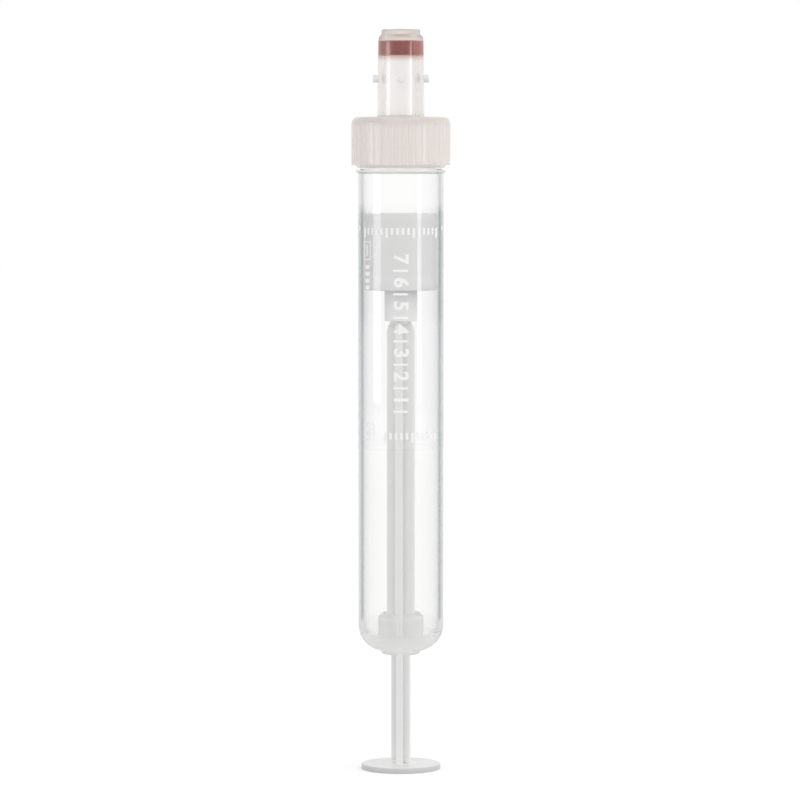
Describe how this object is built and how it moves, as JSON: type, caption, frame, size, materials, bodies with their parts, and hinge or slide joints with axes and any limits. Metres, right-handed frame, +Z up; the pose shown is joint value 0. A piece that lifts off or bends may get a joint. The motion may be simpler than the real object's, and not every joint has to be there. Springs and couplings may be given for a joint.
{
  "type": "blood collection tube",
  "caption": "Clear round-based tube with a fluted screw cap, needle nozzle with a rubber membrane, and a piston on a cruciform rod drawn out through the base.",
  "frame": {"origin": "centre of the pull disc's underside, on the tube's axis", "axes": "+Z up the axis from the pull disc to the nozzle; one side stud of the nozzle points along -Y"},
  "size_m": [0.0174, 0.0174, 0.1304],
  "materials": {
    "clear_plastic": "polished clear, matt on the rounded base",
    "label_film": "clear gloss film with white print",
    "membrane_rubber": "smooth matt rubber",
    "piston_plastic": "satin, slightly translucent",
    "rod_plastic": "satin, slightly translucent",
    "cap_plastic": "soft gloss, milky translucent"
  },
  "bodies": {
    "plunger": {"plunger_rod": "rod_plastic", "piston": "piston_plastic"},
    "barrel": {"barrel": "clear_plastic", "label": "label_film"},
    "cap_lift": {"membrane": "membrane_rubber"},
    "cap": {"screw_cap": "cap_plastic"}
  },
  "joints": [
    {"name": "plunger_draw", "type": "slide", "parent": "plunger", "child": "barrel", "axis": [0, 0, 1], "range_m": [-0.0118, 0.0568]},
    {"name": "cap_climb", "type": "slide", "parent": "barrel", "child": "cap_lift", "axis": [0, 0, 1], "range_m": [0, 0.0068]},
    {"name": "cap_turn", "type": "hinge", "parent": "cap_lift", "child": "cap", "pos_m": [0, 0, 0.11249], "axis": [0, 0, 1], "range_deg": [0, 810]}
  ],
  "couplings": [
    {"joint": "cap_climb", "follows": "cap_turn", "m_per_rad": 0.00047746}
  ]
}
